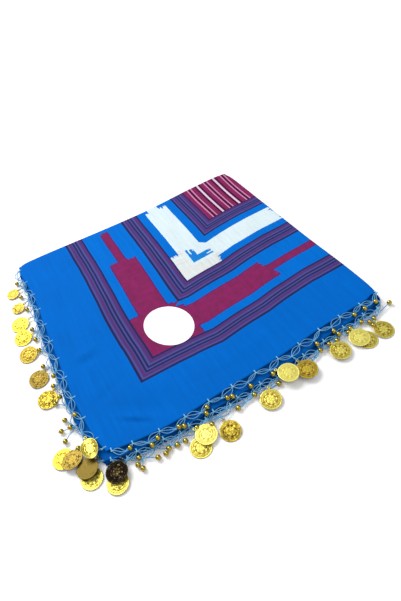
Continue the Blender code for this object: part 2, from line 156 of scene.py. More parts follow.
def ridges(table, x, y):
    """Sum of bell curves: height * exp(-(along / length)^2 - (across / width)^2)."""
    total = np.zeros_like(x)
    for at_x, at_y, heading, length, width, height in table:
        turn = math.radians(heading)
        dx = x - at_x * MM
        dy = y - at_y * MM
        along = (dx * math.cos(turn) + dy * math.sin(turn)) / (length * MM)
        across = (dy * math.cos(turn) - dx * math.sin(turn)) / (width * MM)
        total += height * MM * np.exp(-along ** 2 - across ** 2)
    return total


def smooth(t):
    """Smooth step: 3t^2 - 2t^3, held at 0 and 1 outside."""
    t = np.clip(t, 0, 1)
    return t * t * (3 - 2 * t)


def surface_lift(x, y, to_edge, to_hem):
    """Height added to the top leaf: swells + creases + the turned hem - the droop towards it."""
    swell = ridges(WAVES, x, y) * smooth(to_edge / WAVE_FADE)
    crease = ridges(CREASES, x, y) * smooth(to_edge / CREASE_FADE)
    hem = HEM_LIFT * (smooth(to_hem / HEM_RISE) - smooth((to_hem - HEM_WIDTH) / HEM_FALL))
    droop = -DROOP * (1 - smooth(to_hem / DROOP_REACH))
    return swell + crease + hem + droop


print("ridges:", len(WAVES), "creases:", len(CREASES))

# %% [markdown]
# ## One sheet, folded twice
#
# Folding can be written down. Seen from the side, a fold is a flat run, half a circle and a flat
# run back. The first fold, at the back, sets how deep each row of the cloth lies in a pair of
# leaves. The second fold, on the right, wraps that pair round itself, so a deeper row goes round
# a smaller circle. Two short lists, rows and columns, are all that the sheet needs, and the four
# leaves, both folds and their shared corner come out joined, as on the real scarf.

# %% The folded sheet
LEAF_GAP = 4.2 * MM
ROLL_STEPS = 13
LEFT_SLIP = 3.5 * MM
SECOND_HEM = 0.78
TUCK = 1.0 * MM
SAG_REACH = 30 * MM
SAG_BELOW = 1.2 * MM
RISE_ABOVE = 0.3 * MM


def fold_list(flat_out, flat_back):
    """Stations along a fold: share on the flat run, angle on the half circle."""
    turn = np.linspace(0, math.pi, ROLL_STEPS)
    share = np.concatenate([flat_out[::-1], np.zeros(ROLL_STEPS), flat_back])
    angle = np.concatenate([np.zeros(len(flat_out)), turn, np.full(len(flat_back), math.pi)])
    return share, angle


def end_weighted(count):
    """Shares from a fold to a hem, closer together at both: 0.3 t + 0.35 (1 - cos(pi t))."""
    t = np.linspace(0, 1, count + 1)[1:]
    return 0.3 * t + 0.35 * (1 - np.cos(math.pi * t))


def folded_sheet(columns, rows):
    """Points of the folded sheet, as (rows, columns, 3), with their (u, v).

    Back fold: depth in the pair = half gap * (1 - cos angle), inset = half gap * (1 - sin angle).
    Right fold: height = middle + (middle - depth) * cos angle,
    inset = middle - (middle - depth) * sin angle.
    The lower left hems have slipped outwards by LEFT_SLIP. Near the hems the third leaf sags
    towards the fourth, and the second rises towards the first.
    """
    u, around = (a[None, :] for a in columns)
    v, behind = (a[:, None] for a in rows)
    radius = LEAF_GAP / 2
    depth = radius * (1 - np.cos(behind))
    back = radius * (1 - np.sin(behind)) + 0 * around
    middle = STACK / 2
    z = middle + (middle - depth) * np.cos(around)
    right = middle - (middle - depth) * np.sin(around)
    under = around / math.pi
    inside = behind / math.pi
    share = under + (1 - under) * SECOND_HEM * inside
    inward = TUCK * inside * under
    uu, vv = np.broadcast_arrays(u + 0 * v, v + 0 * u)
    outward = LEFT_SLIP * np.maximum(inside, under)
    x, y = plan(uu, vv, back=back, right=right, front=inward, left=inward - outward, share=share)
    to_hem = np.minimum((1 - uu) * SIDE, (1 - vv) * SIDE)
    to_edge = np.minimum(to_hem, np.minimum(uu, vv) * SIDE)
    top_share = (1 - under) * (1 - inside)
    z = z + surface_lift(x, y, to_edge, to_hem) * top_share
    sag = smooth(1 - to_hem / SAG_REACH) * inside
    z = z - SAG_BELOW * sag * under + RISE_ABOVE * sag * (1 - under)
    return np.stack([x, y, z], axis=-1), uu, vv


def grid_quads(rows, columns):
    """Quads of a grid of points numbered row by row, as (rows - 1, columns - 1, 4)."""
    n = np.arange(rows * columns).reshape(rows, columns)
    return np.stack([n[:-1, :-1], n[:-1, 1:], n[1:, 1:], n[1:, :-1]], axis=-1)


# %% [markdown]
# ## Where the print lies
#
# The pattern is dyed into the cloth, so it follows the cloth and not the room. Its place is kept
# in a UV map: the distance from the folded corner, as a share of the side. The cloth was not
# pulled straight when it was laid down, so the printed lines wander by a few millimetres. Two
# short tables shift them, one along each arm of the pattern.

# %% The print's own coordinates
WANDER_STEP = 0.04
FRONT_WANDER = (
    -0.0145, -0.0140, -0.0148, -0.0148, -0.0116, -0.0080, -0.0044, 0.0020, 0.0089, 0.0110, 0.0120,
    0.0145, 0.0185, 0.0222, 0.0170, 0.0125, 0.0105, 0.0075, 0.0062, 0.0057, 0.0057,
)
LEFT_WANDER = (
    -0.0030, -0.0036, -0.0028, -0.0036, -0.0048, -0.0034, -0.0036, -0.0016, 0.0, 0.0012, 0.0024,
    0.0049, 0.0069, 0.0078, 0.0081, 0.0078, 0.0074, 0.0050, 0.0046, 0.0050, 0.0055,
)
ARM_BLEND = 0.12
INNER_DRIFT = 0.0365
OUTER_BAND = 0.82
PRINT_CORNER = (0.175, 0.177)


def wander(table, t):
    """Shift of the printed lines at t: straight runs between the table's even stations."""
    return np.interp(t, WANDER_STEP * np.arange(len(table)), table)


def print_place(x, y):
    """UV of the print: distance from the folded corner over the side, less the lines' wander.

    Each arm's shift fades out over ARM_BLEND past the corner where the arms meet. The inner
    bands of the front arm have drifted further forward, in step with their distance.
    """
    u = (PRINT_CORNER[0] - x) / SIDE
    v = (PRINT_CORNER[1] - y) / SIDE
    front_arm = np.clip((v - u) / ARM_BLEND + 1, 0, 1)
    left_arm = np.clip((u - v) / ARM_BLEND + 1, 0, 1)
    forward = wander(FRONT_WANDER, u) + INNER_DRIFT * np.clip(OUTER_BAND - v, 0, 1)
    sideways = wander(LEFT_WANDER, v) * np.clip(u / OUTER_BAND, 0, 1)
    return u - sideways * left_arm, v - forward * front_arm


print("print at the near corner:", print_place(-HALF, -HALF))


# %% Put a mesh in the scene
def new_piece(name, points, faces, finishes, which=None, smooth_faces=True):
    """A mesh piece whose place is in its mesh. which gives each face its finish by number."""
    mesh = bpy.data.meshes.new(name)
    mesh.from_pydata(np.asarray(points).reshape(-1, 3).tolist(), [], faces)
    for finish in finishes:
        mesh.materials.append(finish)
    if which is not None:
        mesh.polygons.foreach_set("material_index", np.asarray(which, dtype=np.int32))
    mesh.polygons.foreach_set("use_smooth", np.full(len(mesh.polygons), smooth_faces))
    mesh.update()
    piece = bpy.data.objects.new(name, mesh)
    bpy.context.collection.objects.link(piece)
    return piece


def face_outwards(piece):
    """Turns the faces of closed bodies to point outwards."""
    shape = bmesh.new()
    shape.from_mesh(piece.data)
    bmesh.ops.recalc_face_normals(shape, faces=shape.faces)
    shape.to_mesh(piece.data)
    shape.free()


def lay_print(piece, u, v):
    """Writes a point-by-point UV map named print."""
    corners = np.empty(len(piece.data.loops), dtype=np.int32)
    piece.data.loops.foreach_get("vertex_index", corners)
    uv = np.stack([u.ravel()[corners], v.ravel()[corners]], axis=-1)
    piece.data.uv_layers.new(name="print").data.foreach_set("uv", uv.ravel())


# %% [markdown]
# ## Shader maths as plain Python
#
# A material is a graph of small nodes. Written out node by node it is hard to read, so one small
# class stands for a socket, and adding or comparing two of them adds the Math node. A second
# class stands for a finish, and has the one method that adds every other kind of node.

# %% Sockets and finishes
class Term:
    """A number in a shader. Python's operators on it add Math nodes."""

    def __init__(self, finish, socket):
        self.finish = finish
        self.socket = socket

    def maths(self, operation, *others):
        inputs = dict(enumerate((self, *others)))
        return self.finish.node("Math", {"operation": operation}, inputs)

    def __add__(self, other):
        return self.maths("ADD", other)

    def __sub__(self, other):
        return self.maths("SUBTRACT", other)

    def __rsub__(self, other):
        return (self * -1) + other

    def __mul__(self, other):
        return self.maths("MULTIPLY", other)

    def __truediv__(self, other):
        return self.maths("DIVIDE", other)

    def __gt__(self, other):
        return self.maths("GREATER_THAN", other)

    def __lt__(self, other):
        return self.maths("LESS_THAN", other)

    def __abs__(self):
        return self.maths("ABSOLUTE")

    def least(self, other):
        return self.maths("MINIMUM", other)

    def most(self, other):
        return self.maths("MAXIMUM", other)

    def sine(self):
        return self.maths("SINE")

    __radd__ = __add__
    __rmul__ = __mul__


class Finish:
    """A material with a Principled shader, and one method that adds any node to it."""

    def __init__(self, name, **shader):
        self.material = bpy.data.materials.new(name)
        self.material.use_nodes = True
        self.tree = self.material.node_tree
        self.shader = self.tree.nodes["Principled BSDF"]
        self.set(self.shader, {key.replace("_", " "): value for key, value in shader.items()})

    def set(self, node, inputs):
        """Gives a node's sockets their values, or links them."""
        for key, value in inputs.items():
            if isinstance(value, Term):
                self.tree.links.new(value.socket, node.inputs[key])
            else:
                node.inputs[key].default_value = value

    def node(self, kind, settings=None, inputs=None, out=0):
        """Adds a node: its settings first, then its sockets. stops fills a colour ramp."""
        made = self.tree.nodes.new("ShaderNode" + kind)
        for key, value in (settings or {}).items():
            if key == "stops":
                ramp = made.color_ramp.elements
                while len(ramp) < len(value):
                    ramp.new(0.5)
                for stop, (place, colour) in zip(ramp, value):
                    stop.position = place
                    stop.color = colour
            else:
                setattr(made, key, value)
        self.set(made, inputs or {})
        return Term(self, made.outputs[out])

    def mix(self, factor, below, above):
        """The colour below where factor is 0 and above where it is 1."""
        return self.node("Mix", {"data_type": "RGBA"}, {0: factor, 6: below, 7: above}, out=2)

    def noise(self, vector, scale, detail=2.0, roughness=0.5):
        inputs = {"Vector": vector, "Scale": scale, "Detail": detail, "Roughness": roughness}
        return self.node("TexNoise", None, inputs)

    def place(self, x, y, z=0.0):
        return self.node("CombineXYZ", None, {0: x, 1: y, 2: z})

    def split(self, vector):
        parts = self.node("SeparateXYZ", None, {0: vector})
        return [Term(self, socket) for socket in parts.socket.node.outputs]


def dye(red, green, blue):
    """A colour given as 0 to 255 screen values, turned into the linear values that light uses."""
    screen = np.array((red, green, blue)) / 255
    linear = np.where(screen <= 0.04045, screen / 12.92, ((screen + 0.055) / 1.055) ** 2.4)
    return (*linear.tolist(), 1.0)


# %% [markdown]
# ## The printed cotton
#
# The print is a traditional one of nested corners: bands of fine lines, bottle-shaped bars that
# meet in a square, a pale tie-dyed angle with feathered ends, and a striped middle. Nothing is
# drawn point by point. Two numbers describe any place: w, the larger of its distances from the
# two folds, and n, the smaller. A band is a range of w, and a bar ends at a value of n. The
# feathered ends come from a noise that changes quickly from thread to thread.

# %% Colours and sizes of the print
BLUE = dye(2, 113, 214)
BORDER_BLUE = dye(1, 107, 207)
PLUM = dye(128, 42, 88)
BRIGHT_PLUM = dye(144, 40, 102)
NOTCH_BLUE = dye(26, 130, 218)
NAVY = dye(38, 44, 96)
LILAC = dye(82, 82, 150)
PURPLE = dye(88, 56, 122)
PALE = dye(224, 242, 248)
PALE_WARM = dye(230, 234, 232)
PALE_GREY = dye(206, 206, 206)
BARE_WHITE = dye(246, 246, 246)
DARK_PLUM = dye(62, 20, 50)
PINK = dye(208, 142, 180)
PALE_PINK = dye(228, 208, 228)

BANDS = ((0.7430, 0.8205), (0.4810, 0.5585), (0.2400, 0.3090))
BAND_LINES = (
    (0.00, NAVY), (0.10, NAVY), (0.13, LILAC), (0.18, LILAC), (0.22, PURPLE), (0.33, PURPLE),
    (0.36, LILAC), (0.40, NAVY), (0.46, NAVY), (0.49, LILAC), (0.54, LILAC), (0.57, NAVY),
    (0.63, NAVY), (0.66, LILAC), (0.72, LILAC), (0.77, PURPLE), (0.90, PURPLE), (0.93, NAVY),
    (1.00, NAVY),
)
BOTTLE = {
    "middle": 0.650, "body": 0.0535, "neck": 0.0155, "neck_end": 0.022,
    "foot": 0.583, "left_foot": -0.027,
}
SHOULDER = {"end": 0.236, "slant": 0.355, "left_end": 0.0075, "left_slant": -0.14}
PLUM_RIM = {"width": 0.0035, "colour": dye(84, 40, 120)}
ANGLE = {
    "middle": 0.3955, "body": 0.0505, "end": 0.034, "tail_shift": 0.010, "tail": 0.024,
    "tail_end": 0.004, "wing": 0.352, "left_wing": 0.006, "fill": 0.668,
}
NOTCH = {"inner": 0.383, "outer": 0.415, "end": 0.356, "left_end": -0.012}
NOTCH_GAPS = (
    {"at": 0.4030, "half": 0.0030, "to": 0.378},
    {"at": 0.3868, "half": 0.0016, "to": 0.366},
)
WORN_CORNER = {"w": 0.43, "n": 0.335}
STRIPES = (
    {"at": (0.208, 0.174, 0.155, 0.122, 0.090, 0.069, 0.0355), "half": 0.0040, "ink": DARK_PLUM,
     "strength": 0.9},
    {"at": (0.217, 0.199, 0.131, 0.113, 0.044, 0.027), "half": 0.0027, "ink": PINK,
     "strength": 1.0},
    {"at": (0.165, 0.080), "half": 0.0046, "ink": PALE_PINK, "strength": 1.0},
)
STRIPE_END = 0.251
STRIPE_BOW = 0.004

# The bars of the front arm reach this much nearer to the fold than those of the left one.
FRONT_REACH = 0.03

# Noises that are drawn out one way: how fast each changes along its two numbers, and its detail.
GRAINS = {
    "comb": (150, 5, 1.0), "fray": (9, 130, 1.0), "weft": (6, 90, 2.0),
    "slub_u": (60, 700, 2.0), "slub_v": (700, 60, 2.0), "streak": (80, 5, 2.0),
}

# How far the dye runs past a drawn line: at a bar's end, a wing's end, a foot, and a long side.
END_FRAY = 0.055
WING_FRAY = 0.035
FOOT_FRAY = 0.020
SIDE_FRAY = 0.004
DISC = {"x": -49.6 * MM, "y": -54.7 * MM, "across": (27.75, -13.93), "deep": (-19.95, -26.47)}
THREADS_PER_SIDE = 620


def band_colour(finish, w, low, high):
    """Colour across one band of fine lines, from its outer edge at high to its inner one at low."""
    across = (high - w) / (high - low)
    return finish.node("ValToRGB", {"stops": BAND_LINES}, {"Fac": across})


def within(value, low, high):
    """1 between low and high, else 0."""
    return (value > low) * (value < high)


def beside(value, places, half):
    """1 within half of any of the places, else 0."""
    near = abs(value - places[0])
    for place in places[1:]:
        near = near.least(abs(value - place))
    return near < half


print("lines across a band:", len(BAND_LINES))


# %% The cotton's finish
def printed_cotton(name, lightness_and_painted_shade, disc=None):
    """Printed cotton. The second argument sets its lightness; lower below, as painted shade."""
    cotton = Finish(name, Roughness=0.8, Specular_IOR_Level=0.03)
    place = cotton.node("UVMap", {"uv_map": "print"})
    u, v, _ = cotton.split(place)
    u, v = abs(u), abs(v)
    w = u.most(v)
    n = (u + FRONT_REACH).least(v)
    on_left = u > v

    def grain(kind, first, second):
        first_pace, second_pace, detail = GRAINS[kind]
        return cotton.noise(cotton.place(first * first_pace, second * second_pace), 1.0, detail)

    comb = grain("comb", w, n) - 0.5
    fray = grain("fray", w, n) - 0.5
    end = n + comb * END_FRAY
    edge = w + fray * SIDE_FRAY

    colour = cotton.mix(w > BANDS[0][1], BLUE, BORDER_BLUE)
    mottle = (cotton.noise(place, 40.0, 3.0) - 0.5) * 3.0 + 0.5
    plum_ink = cotton.mix(mottle, PLUM, BRIGHT_PLUM)

    # The bottle bars and the square that they meet in.
    off = edge - BOTTLE["middle"]
    slant = on_left * SHOULDER["left_slant"] + SHOULDER["slant"]
    shoulder = on_left * SHOULDER["left_end"] + SHOULDER["end"] - off * slant
    for grow, ink in ((PLUM_RIM["width"], PLUM_RIM["colour"]), (0.0, plum_ink)):
        body = (abs(off) < BOTTLE["body"] + grow) * (end + grow > shoulder)
        neck = (abs(off) < BOTTLE["neck"] + grow) * (end + grow > BOTTLE["neck_end"])
        foot = n + comb * FOOT_FRAY - on_left * BOTTLE["left_foot"] > BOTTLE["foot"] - grow
        plum = body.most(neck).most(foot) * within(w, BANDS[1][1], BANDS[0][0])
        colour = cotton.mix(plum, colour, ink)

    # The pale angle: its arms and their thin tails, its wings at the corner, and in it the blue
    # notch, whose two gaps leave three fingers.
    off = edge - ANGLE["middle"]
    arm = (abs(off) < ANGLE["body"]) * (end > ANGLE["end"])
    tail = (abs(off - ANGLE["tail_shift"]) < ANGLE["tail"]) * (end > ANGLE["tail_end"])
    wing_tip = n + comb * WING_FRAY - on_left * ANGLE["left_wing"]
    wing = within(w, ANGLE["middle"], BANDS[1][0]) * (wing_tip > ANGLE["wing"])
    fill = (u + v > ANGLE["fill"]) * (w < ANGLE["middle"])
    tip = n + comb * FOOT_FRAY - on_left * NOTCH["left_end"]
    notch = within(edge, NOTCH["inner"], NOTCH["outer"]) * (tip > NOTCH["end"])
    for gap in NOTCH_GAPS:
        notch = notch * (1 - (abs(edge - gap["at"]) < gap["half"]) * (tip < gap["to"]))
    pale = arm.most(tail).most(wing).most(fill) * (1 - notch)
    weft = grain("weft", w, n)
    corner = (w > WORN_CORNER["w"]) * (n > WORN_CORNER["n"])
    white = cotton.mix((corner * (weft > 0.42)).most((weft > 0.62) * 0.4), PALE, PALE_WARM)
    white = cotton.mix(corner * (weft > 0.60) * 0.4, white, PALE_GREY)
    colour = cotton.mix(notch, cotton.mix(pale, colour, white), NOTCH_BLUE)

    # The striped middle. Its stripes bow a little from end to end.
    middle = w < BANDS[2][0]
    colour = cotton.mix(middle, colour, plum_ink)
    run = middle * ((v + comb * FOOT_FRAY) < STRIPE_END)
    line = u - (v * (math.pi / STRIPE_END)).sine() * STRIPE_BOW
    for stripe in STRIPES:
        on_stripe = beside(line, stripe["at"], stripe["half"]) * run * stripe["strength"]
        colour = cotton.mix(on_stripe, colour, stripe["ink"])

    for low, high in BANDS:
        colour = cotton.mix(within(w, low, high), colour, band_colour(cotton, w, low, high))

    # Uneven dye in slow clouds, and slubs along both sets of threads.
    cloud = cotton.noise(place, 7.0, 3.0)
    slub_u = grain("slub_u", u, v)
    slub_v = grain("slub_v", u, v)
    streak = grain("streak", u, v)
    uneven = (cloud - 0.5) * 0.18 + (streak - 0.5) * 0.24 + (slub_u + slub_v - 1.0) * 0.16
    # The last factor darkens the whole print: a set lightness on the top leaf, and painted shade on
    # the leaves below, which lie in the top leaf's shadow.
    tone = (uneven + 1.0) * lightness_and_painted_shade
    colour = cotton.node(
        "VectorMath", {"operation": "MULTIPLY"}, {0: colour, 1: cotton.place(tone, tone, tone)}
    )

    if disc:
        x, y, _ = cotton.split(cotton.node("TexCoord", None, None, out=3))
        x, y = x - disc["x"], y - disc["y"]
        across, deep = (x * disc[key][0] + y * disc[key][1] for key in ("across", "deep"))
        colour = cotton.mix(across * across + deep * deep < 1.0, colour, BARE_WHITE)

    # Plain weave: one thread over and one under, as the product of two waves.
    pitch = 2 * math.pi * THREADS_PER_SIDE / 2
    weave = (u * pitch).sine() * (v * pitch).sine()
    height = weave * 0.4 + (slub_u + slub_v) * 0.6
    bump = cotton.node("Bump", None, {"Strength": 0.35, "Distance": 0.00012, "Height": height})
    roughness = (cloud - 0.5) * 0.15 + 0.8
    cotton.set(cotton.shader, {"Base Color": colour, "Normal": bump, "Roughness": roughness})
    return cotton.material


cotton_top = printed_cotton("printed_cotton", 0.75, DISC)
# The leaves below get the same print, darker: painted shade for where the top leaf and the folds
# shade them.
cotton_painted_shade = printed_cotton("printed_cotton_painted_shade", 0.52)
print("nodes in the cotton:", len(cotton_top.node_tree.nodes))

# %% [markdown]
# ## The leaf that shows, and the leaves below
#
# Both come from the same folded sheet. The leaf on top gets a fine grid, because its creases show.
# It ends half-way round each fold, where the leaves below take over. Those need points only near
# the folds and the hems. Solidify then gives each grid the thickness of cloth and closes its rim.

# %% The top leaf
TOP_CELLS = 172


def give_thickness(piece):
    """Cloth has a wall: a second skin inside, and a closed rim."""
    wall = piece.modifiers.new("wall", "SOLIDIFY")
    wall.thickness = CLOTH
    wall.offset = -1


top_flat = np.linspace(0, 1, TOP_CELLS + 1)[1:]
half_roll = ROLL_STEPS // 2 + 1
share, angle = fold_list(top_flat, np.empty(0))
quarter = (share[: TOP_CELLS + half_roll], angle[: TOP_CELLS + half_roll])
points, u, _ = folded_sheet(quarter, quarter)
quads = grid_quads(*u.shape).reshape(-1, 4)
leaf_top = new_piece("leaf_top_cloth", points, quads.tolist(), [cotton_top])
lay_print(leaf_top, *print_place(points[..., 0], points[..., 1]))
give_thickness(leaf_top)
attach(leaf_top, "root")
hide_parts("leaf_top")
print("top leaf:", points.shape, "faces:", len(leaf_top.data.polygons))

# %% The leaves below
lower_flat = end_weighted(64)
both = fold_list(lower_flat, lower_flat)
points, u, _ = folded_sheet(both, both)
quads = grid_quads(*u.shape)
on_top = np.arange(quads.shape[0]) < len(lower_flat) + half_roll - 1
keep = ~(on_top[:, None] & on_top[None, :])
leaves_lower = new_piece("leaves_lower_cloth", points, quads[keep].tolist(), [cotton_painted_shade])
lay_print(leaves_lower, *print_place(points[..., 0], points[..., 1]))
give_thickness(leaves_lower)
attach(leaves_lower, "root")
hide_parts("leaves_lower")
print("leaves below:", points.shape, "faces:", len(leaves_lower.data.polygons))

# %% [markdown]
# ## Thread, knots and beads as whole families
#
# A crocheted edging is hundreds of small things that repeat. Instead of one object each, a family
# is built at once: every thread in a family has the same number of stations, so one array holds
# them all, and the ring of points round each station comes from one formula.

# %% Families of threads and balls
def unit(vectors):
    """Each vector over its own length."""
    return vectors / np.maximum(np.linalg.norm(vectors, axis=-1, keepdims=True), 1e-12)


def thread_family(paths, radius, sides=5):
    """Round threads: each ring is path + radius * (cos a * sideways + sin a * up)."""
    paths = np.asarray(paths, float)
    count, stations = paths.shape[:2]
    tangent = unit(np.gradient(paths, axis=1))
    steep = np.abs(tangent[..., 2:]) > 0.9
    reference = np.where(steep, np.array((1.0, 0, 0)), np.array((0, 0, 1.0)))
    sideways = unit(np.cross(tangent, reference))
    up = np.cross(sideways, tangent)
    angle = 2 * math.pi * np.arange(sides) / sides
    ring = np.cos(angle)[:, None] * sideways[:, :, None] + np.sin(angle)[:, None] * up[:, :, None]
    points = paths[:, :, None] + radius * ring
    n = np.arange(points[..., 0].size).reshape(count, stations, sides)
    a, b = n[:, :-1], n[:, 1:]
    walls = np.stack([a, b, np.roll(b, -1, axis=2), np.roll(a, -1, axis=2)], axis=-1).reshape(-1, 4)
    ends = np.concatenate([n[:, 0], n[:, -1, ::-1]])
    return points.reshape(-1, 3), walls.tolist() + ends.tolist()


def ball_family(centres, radius, rows, sides):
    """Balls: rows of rings from pole to pole, r = radius * sin a, z = radius * cos a."""
    centres = np.asarray(centres, float).reshape(-1, 3)
    polar = np.linspace(0, math.pi, rows + 1)[1:-1]
    turn = 2 * math.pi * np.arange(sides) / sides
    ring = np.stack([
        np.sin(polar)[:, None] * np.cos(turn),
        np.sin(polar)[:, None] * np.sin(turn),
        np.cos(polar)[:, None] + 0 * turn,
    ], axis=-1).reshape(-1, 3)
    poles = np.array(((0, 0, 1.0), (0, 0, -1.0)))
    one = radius * np.concatenate([ring, poles])
    points = centres[:, None] + one
    n = np.arange((rows - 1) * sides).reshape(rows - 1, sides)
    after = np.roll(n, -1, axis=1)
    quads = np.stack([n[:-1], n[1:], after[1:], after[:-1]], axis=-1).reshape(-1, 4)
    top = np.stack([np.full(sides, len(ring)), n[0], np.roll(n[0], -1)], axis=-1)
    low = np.stack([np.full(sides, len(ring) + 1), np.roll(n[-1], -1), n[-1]], axis=-1)
    faces = []
    for k in range(len(centres)):
        first = k * len(one)
        faces += (quads + first).tolist() + (top + first).tolist() + (low + first).tolist()
    return points.reshape(-1, 3), faces


def gather(*families):
    """Joins families into one list of points and faces, and numbers each face by its family."""
    points, faces, which, first = [], [], [], 0
    for number, (some_points, some_faces) in families:
        points.append(some_points)
        faces += [[i + first for i in face] for face in some_faces]
        which += [number] * len(some_faces)
        first += len(some_points)
    return np.concatenate(points), faces, which


# %% [markdown]
# ## Finishes of the edging
#
# The thread is a slightly shiny pale blue, with a fine flecked bump. The knots catch more light
# and look paler. The beads are a darker gilt metal than the coins, smooth enough to mirror the
# lamps.

# %% Thread, knot and bead finishes
def spun_thread(name, light, dark):
    """Twisted thread: colour in small flecks, and the same flecks as a bump."""
    thread = Finish(name, Roughness=0.55, Specular_IOR_Level=0.35)
    where = thread.node("TexCoord", None, None, out=3)
    fleck = thread.noise(where, 900.0, 2.0)
    shade = thread.noise(where, 120.0, 1.0)
    mixed = thread.mix((fleck + shade) * 0.5, dark, light)
    bump = thread.node("Bump", None, {"Strength": 0.5, "Distance": 0.0002, "Height": fleck})
    thread.set(thread.shader, {"Base Color": mixed, "Normal": bump})
    return thread.material


def gilt_bead(name):
    """Gilt metal: a bright base with duller rubbed places."""
    bead = Finish(name, Metallic=1.0, Roughness=0.2)
    where = bead.node("TexCoord", None, None, out=3)
    rub = bead.noise(where, 700.0, 2.0)
    colour = bead.mix(rub, dye(112, 90, 26), dye(220, 196, 84))
    bead.set(bead.shader, {"Base Color": colour, "Roughness": rub * 0.2 + 0.12})
    return bead.material


thread_blue = spun_thread("thread_pale_blue", dye(118, 190, 232), dye(20, 84, 142))
thread_knot = spun_thread("thread_knots", dye(156, 212, 238), dye(56, 132, 182))
bead_gilt = gilt_bead("gilt_beads")
print("edging finishes:", thread_blue.name, thread_knot.name, bead_gilt.name)

# %% [markdown]
# ## The edging
#
# On the real scarf a knot sits on the hem about every three centimetres. From it a leaf-shaped
# loop runs down to a point and the next one climbs back to the hem, so the edging is a zigzag of
# leaves. A loop is three threads between the same two places: the outer two bow out by half a
# sine, and the middle one wanders between them. The beads hang wherever the scarf was let fall, so
# each row of the table lists its own: share of the side along the hem, and millimetres out from
# it. Every hem has such a run. Where two lie close together, one stands for both.

# %% Where each run of edging lies
KNOT_OUT = 1.55
RUNS = {
    "lace_front_upper": {
        "side": "front", "share": 0.0, "start": 0.003, "pitch": 0.0829, "count": 12, "last": 0.982,
        "depth": 7.0, "stitch": 3.2, "hem_z": 9.9, "bead_z": 9.5,
        "beads": (
            (0.035, 8.6), (0.084, 8.1), (0.126, 8.2), (0.213, 19.0), (0.218, 12.2), (0.289, 13.5),
            (0.460, 13.7), (0.537, 12.1), (0.600, 11.2), (0.615, 9.5), (0.692, 11.3), (0.681, 5.6),
            (0.765, 9.9), (0.779, 7.6), (0.846, 7.5), (0.869, 12.1), (0.928, 4.7),
        ),
    },
    "lace_front_lower": {
        "side": "front", "share": 1.0, "start": 0.041, "pitch": 0.0817, "count": 12, "last": 0.985,
        "depth": 7.0, "stitch": 2.6, "hem_z": 5.0, "bead_z": 3.4,
        "beads": (
            (-0.012, 4.7), (0.120, 3.6), (0.078, 8.1), (0.098, 9.0), (0.098, 14.7),
            (0.163, 3.0), (0.176, 5.7), (0.252, 3.8), (0.224, 5.6), (0.246, 11.7),
            (0.287, 3.5), (0.456, 7.8), (0.536, 4.3), (0.598, 8.0), (0.688, 9.4),
            (0.729, 4.4), (0.776, 11.5), (0.801, 11.3), (0.826, 10.5), (0.840, 14.2),
            (0.864, 14.4), (0.911, 5.8), (0.922, 12.8), (0.914, 18.7),
        ),
    },
    "lace_left_upper": {
        "side": "left", "share": 0.0, "start": 0.035, "pitch": 0.0903, "count": 11, "last": 0.985,
        "depth": 7.0, "stitch": 4.4, "hem_z": 9.9, "bead_z": 9.0,
        "beads": ((0.634, 11.3), (0.726, 13.4), (0.819, 5.8)),
    },
    "lace_left_lower": {
        "side": "left", "share": 1.0, "start": 0.079, "pitch": 0.0878, "count": 11, "last": 0.985,
        "depth": 5.0, "stitch": 2.6, "hem_z": 5.0, "bead_z": 3.6,
        "beads": (
            (0.081, 12.2), (0.168, 13.7), (0.248, 11.3), (0.357, 11.3), (0.412, 10.9),
            (0.466, 10.9), (0.544, 13.5), (0.642, 10.2), (0.711, 14.7), (0.785, 12.0),
            (0.818, 10.1), (0.815, 20.5), (0.854, 21.8), (0.898, 14.1),
        ),
    },
    "lace_front_second": {
        "side": "front", "share": 0.8, "start": 0.018, "pitch": 0.0810, "count": 12, "last": 0.990,
        "depth": 6.0, "stitch": 2.6, "hem_z": 6.6, "bead_z": 4.6, "beads": (),
    },
}
LOOP_SPREAD = 0.20
LOOP_STATIONS = 11
THREAD_RADIUS = 0.52 * MM
NUB_RADIUS = 0.85 * MM
JOIN_RADIUS = 1.0 * MM
BEAD_RADIUS = 3.0 * MM
BEAD_PASS = 3.4
STITCH_PARTS = (1, 0.75, 0.5, 0.25)
TIP_DRIFT = (1.6, 1.1)


def run_place(run, span, along, out, lift):
    """Space place of (along, out, lift) in mm on a run: along its hem, out from it, and up."""
    share = np.clip(along / span, -0.02, 1.02)
    if run["side"] == "front":
        x, y = plan(share, 1, share=run["share"])
        y = y - out * MM
    else:
        x, y = plan(1, share, share=run["share"])
        x = x - out * MM
    z = run["hem_z"] + (run["bead_z"] - run["hem_z"]) * smooth(out / run["depth"]) + lift
    return np.stack([x, y, z * MM], axis=-1)


def loops(start, end, wobble):
    """Threads of leaf loops from start to end: out by spread * length * sin(pi t), with a lift."""
    t = np.linspace(0, 1, LOOP_STATIONS)
    heading = end - start
    length = np.linalg.norm(heading, axis=-1, keepdims=True)
    across = np.stack([-heading[:, 1], heading[:, 0]], axis=-1) / length
    made = []
    for side, lift in ((1, 0.35), (-1, 0.05), (0, 0.55)):
        spread = LOOP_SPREAD * length * side * np.sin(math.pi * t) * (1 + 0.35 * wobble[:, None])
        drift = 0.55 * np.sin(2 * math.pi * t) * wobble[:, None] * (1 if side == 0 else 0.4)
        line = start[:, None] + heading[:, None] * t[:, None]
        flat = line + across[:, None] * (spread + drift)[..., None]
        rise = np.broadcast_to(lift * np.sin(math.pi * t), flat.shape[:2])
        made.append(np.concatenate([flat, rise[..., None]], axis=-1))
    return np.concatenate(made)


def at_lift(flat, lift):
    """Flat places (along, out) with the same lift added to each."""
    return np.concatenate([flat, np.full((len(flat), 1), lift)], axis=-1)


